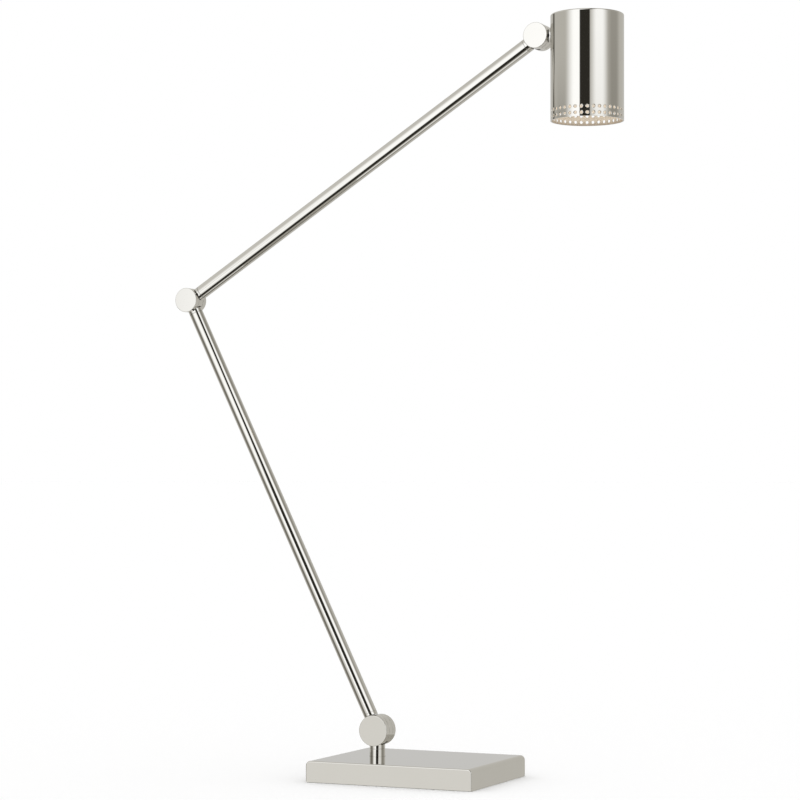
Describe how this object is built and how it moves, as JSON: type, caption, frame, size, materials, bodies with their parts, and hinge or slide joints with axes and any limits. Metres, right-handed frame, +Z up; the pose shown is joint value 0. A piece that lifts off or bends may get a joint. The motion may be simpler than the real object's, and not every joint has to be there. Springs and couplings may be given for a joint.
{
  "type": "swing arm desk lamp",
  "caption": "Desk lamp with a weighted rectangular base, a turning stem, folding tube arms with drum joints and a tilting cylindrical shade with a pierced rim.",
  "frame": {"origin": "centre of the base pad's flat underside, where the lamp rests on the table", "axes": "+Z up; X along the base's long side, with the stem towards -X and the shade reaching towards +X; Y across the base, along the axes the arms fold about"},
  "size_m": [0.4226, 0.1201, 0.649],
  "materials": {
    "polished_nickel": "polished",
    "steel": "plain",
    "cast_iron": "rough",
    "brass": "plain",
    "nylon": "matt",
    "rubber": "matt",
    "lead_sheath": "matt",
    "ceramic": "glazed",
    "bulb_shell": "satin",
    "lens": "frosted"
  },
  "bodies": {
    "base": {"base_cover": "polished_nickel", "base_weight": "cast_iron", "bottom_plate": "steel", "base_pad": "rubber", "base_screw_1": "steel", "base_screw_2": "steel", "base_screw_3": "steel", "base_screw_4": "steel", "thrust_washer": "nylon", "swivel_stop_pin": "steel", "cable_bush": "rubber", "base_lead": "lead_sheath"},
    "stem": {"stem": "polished_nickel", "stem_collar": "steel", "swivel_wave_washer": "steel", "swivel_stop_washer": "steel", "stem_nut": "steel", "stem_lead": "lead_sheath", "base_joint_clevis": "polished_nickel", "base_joint_pivot_screw": "steel", "base_joint_spring_washer": "steel"},
    "lower_arm": {"lower_arm_tube": "polished_nickel", "lower_arm_lead": "lead_sheath", "base_joint_tongue": "polished_nickel", "base_joint_pivot_bush": "brass", "base_joint_friction_washer_front": "nylon", "base_joint_friction_washer_back": "nylon", "elbow_clevis": "polished_nickel", "elbow_pivot_screw": "steel", "elbow_spring_washer": "steel"},
    "upper_arm": {"upper_arm_tube": "polished_nickel", "upper_arm_lead": "lead_sheath", "elbow_tongue": "polished_nickel", "elbow_pivot_bush": "brass", "elbow_friction_washer_front": "nylon", "elbow_friction_washer_back": "nylon", "head_clevis": "polished_nickel", "head_pivot_screw": "steel", "head_spring_washer": "steel"},
    "head": {"head_tongue": "polished_nickel", "head_pivot_bush": "brass", "head_friction_washer_front": "nylon", "head_friction_washer_back": "nylon", "shade": "polished_nickel", "stub_washer": "steel", "stub_nut": "brass", "lamp_bracket": "steel", "lamp_holder": "ceramic", "holder_screw_left": "steel", "holder_screw_right": "steel", "bulb_body": "bulb_shell", "bulb_lens": "lens", "bulb_pin_front": "brass", "bulb_pin_back": "brass", "head_lead": "lead_sheath"}
  },
  "joints": [
    {"name": "base_swivel", "type": "hinge", "parent": "base", "child": "stem", "pos_m": [-0.0374, 0, 0.0412], "axis": [0, 0, 1], "range_deg": [-160, 160]},
    {"name": "base_tilt", "type": "hinge", "parent": "stem", "child": "lower_arm", "pos_m": [-0.0374, 0, 0.0412], "axis": [0, 1, 0], "range_deg": [-34, 38]},
    {"name": "elbow", "type": "hinge", "parent": "lower_arm", "child": "upper_arm", "pos_m": [-0.22378, 0, 0.42081], "axis": [0, 1, 0], "range_deg": [-84, 26]},
    {"name": "head_tilt", "type": "hinge", "parent": "upper_arm", "child": "head", "pos_m": [0.11371, 0, 0.63384], "axis": [0, 1, 0], "range_deg": [-90, 55]}
  ]
}
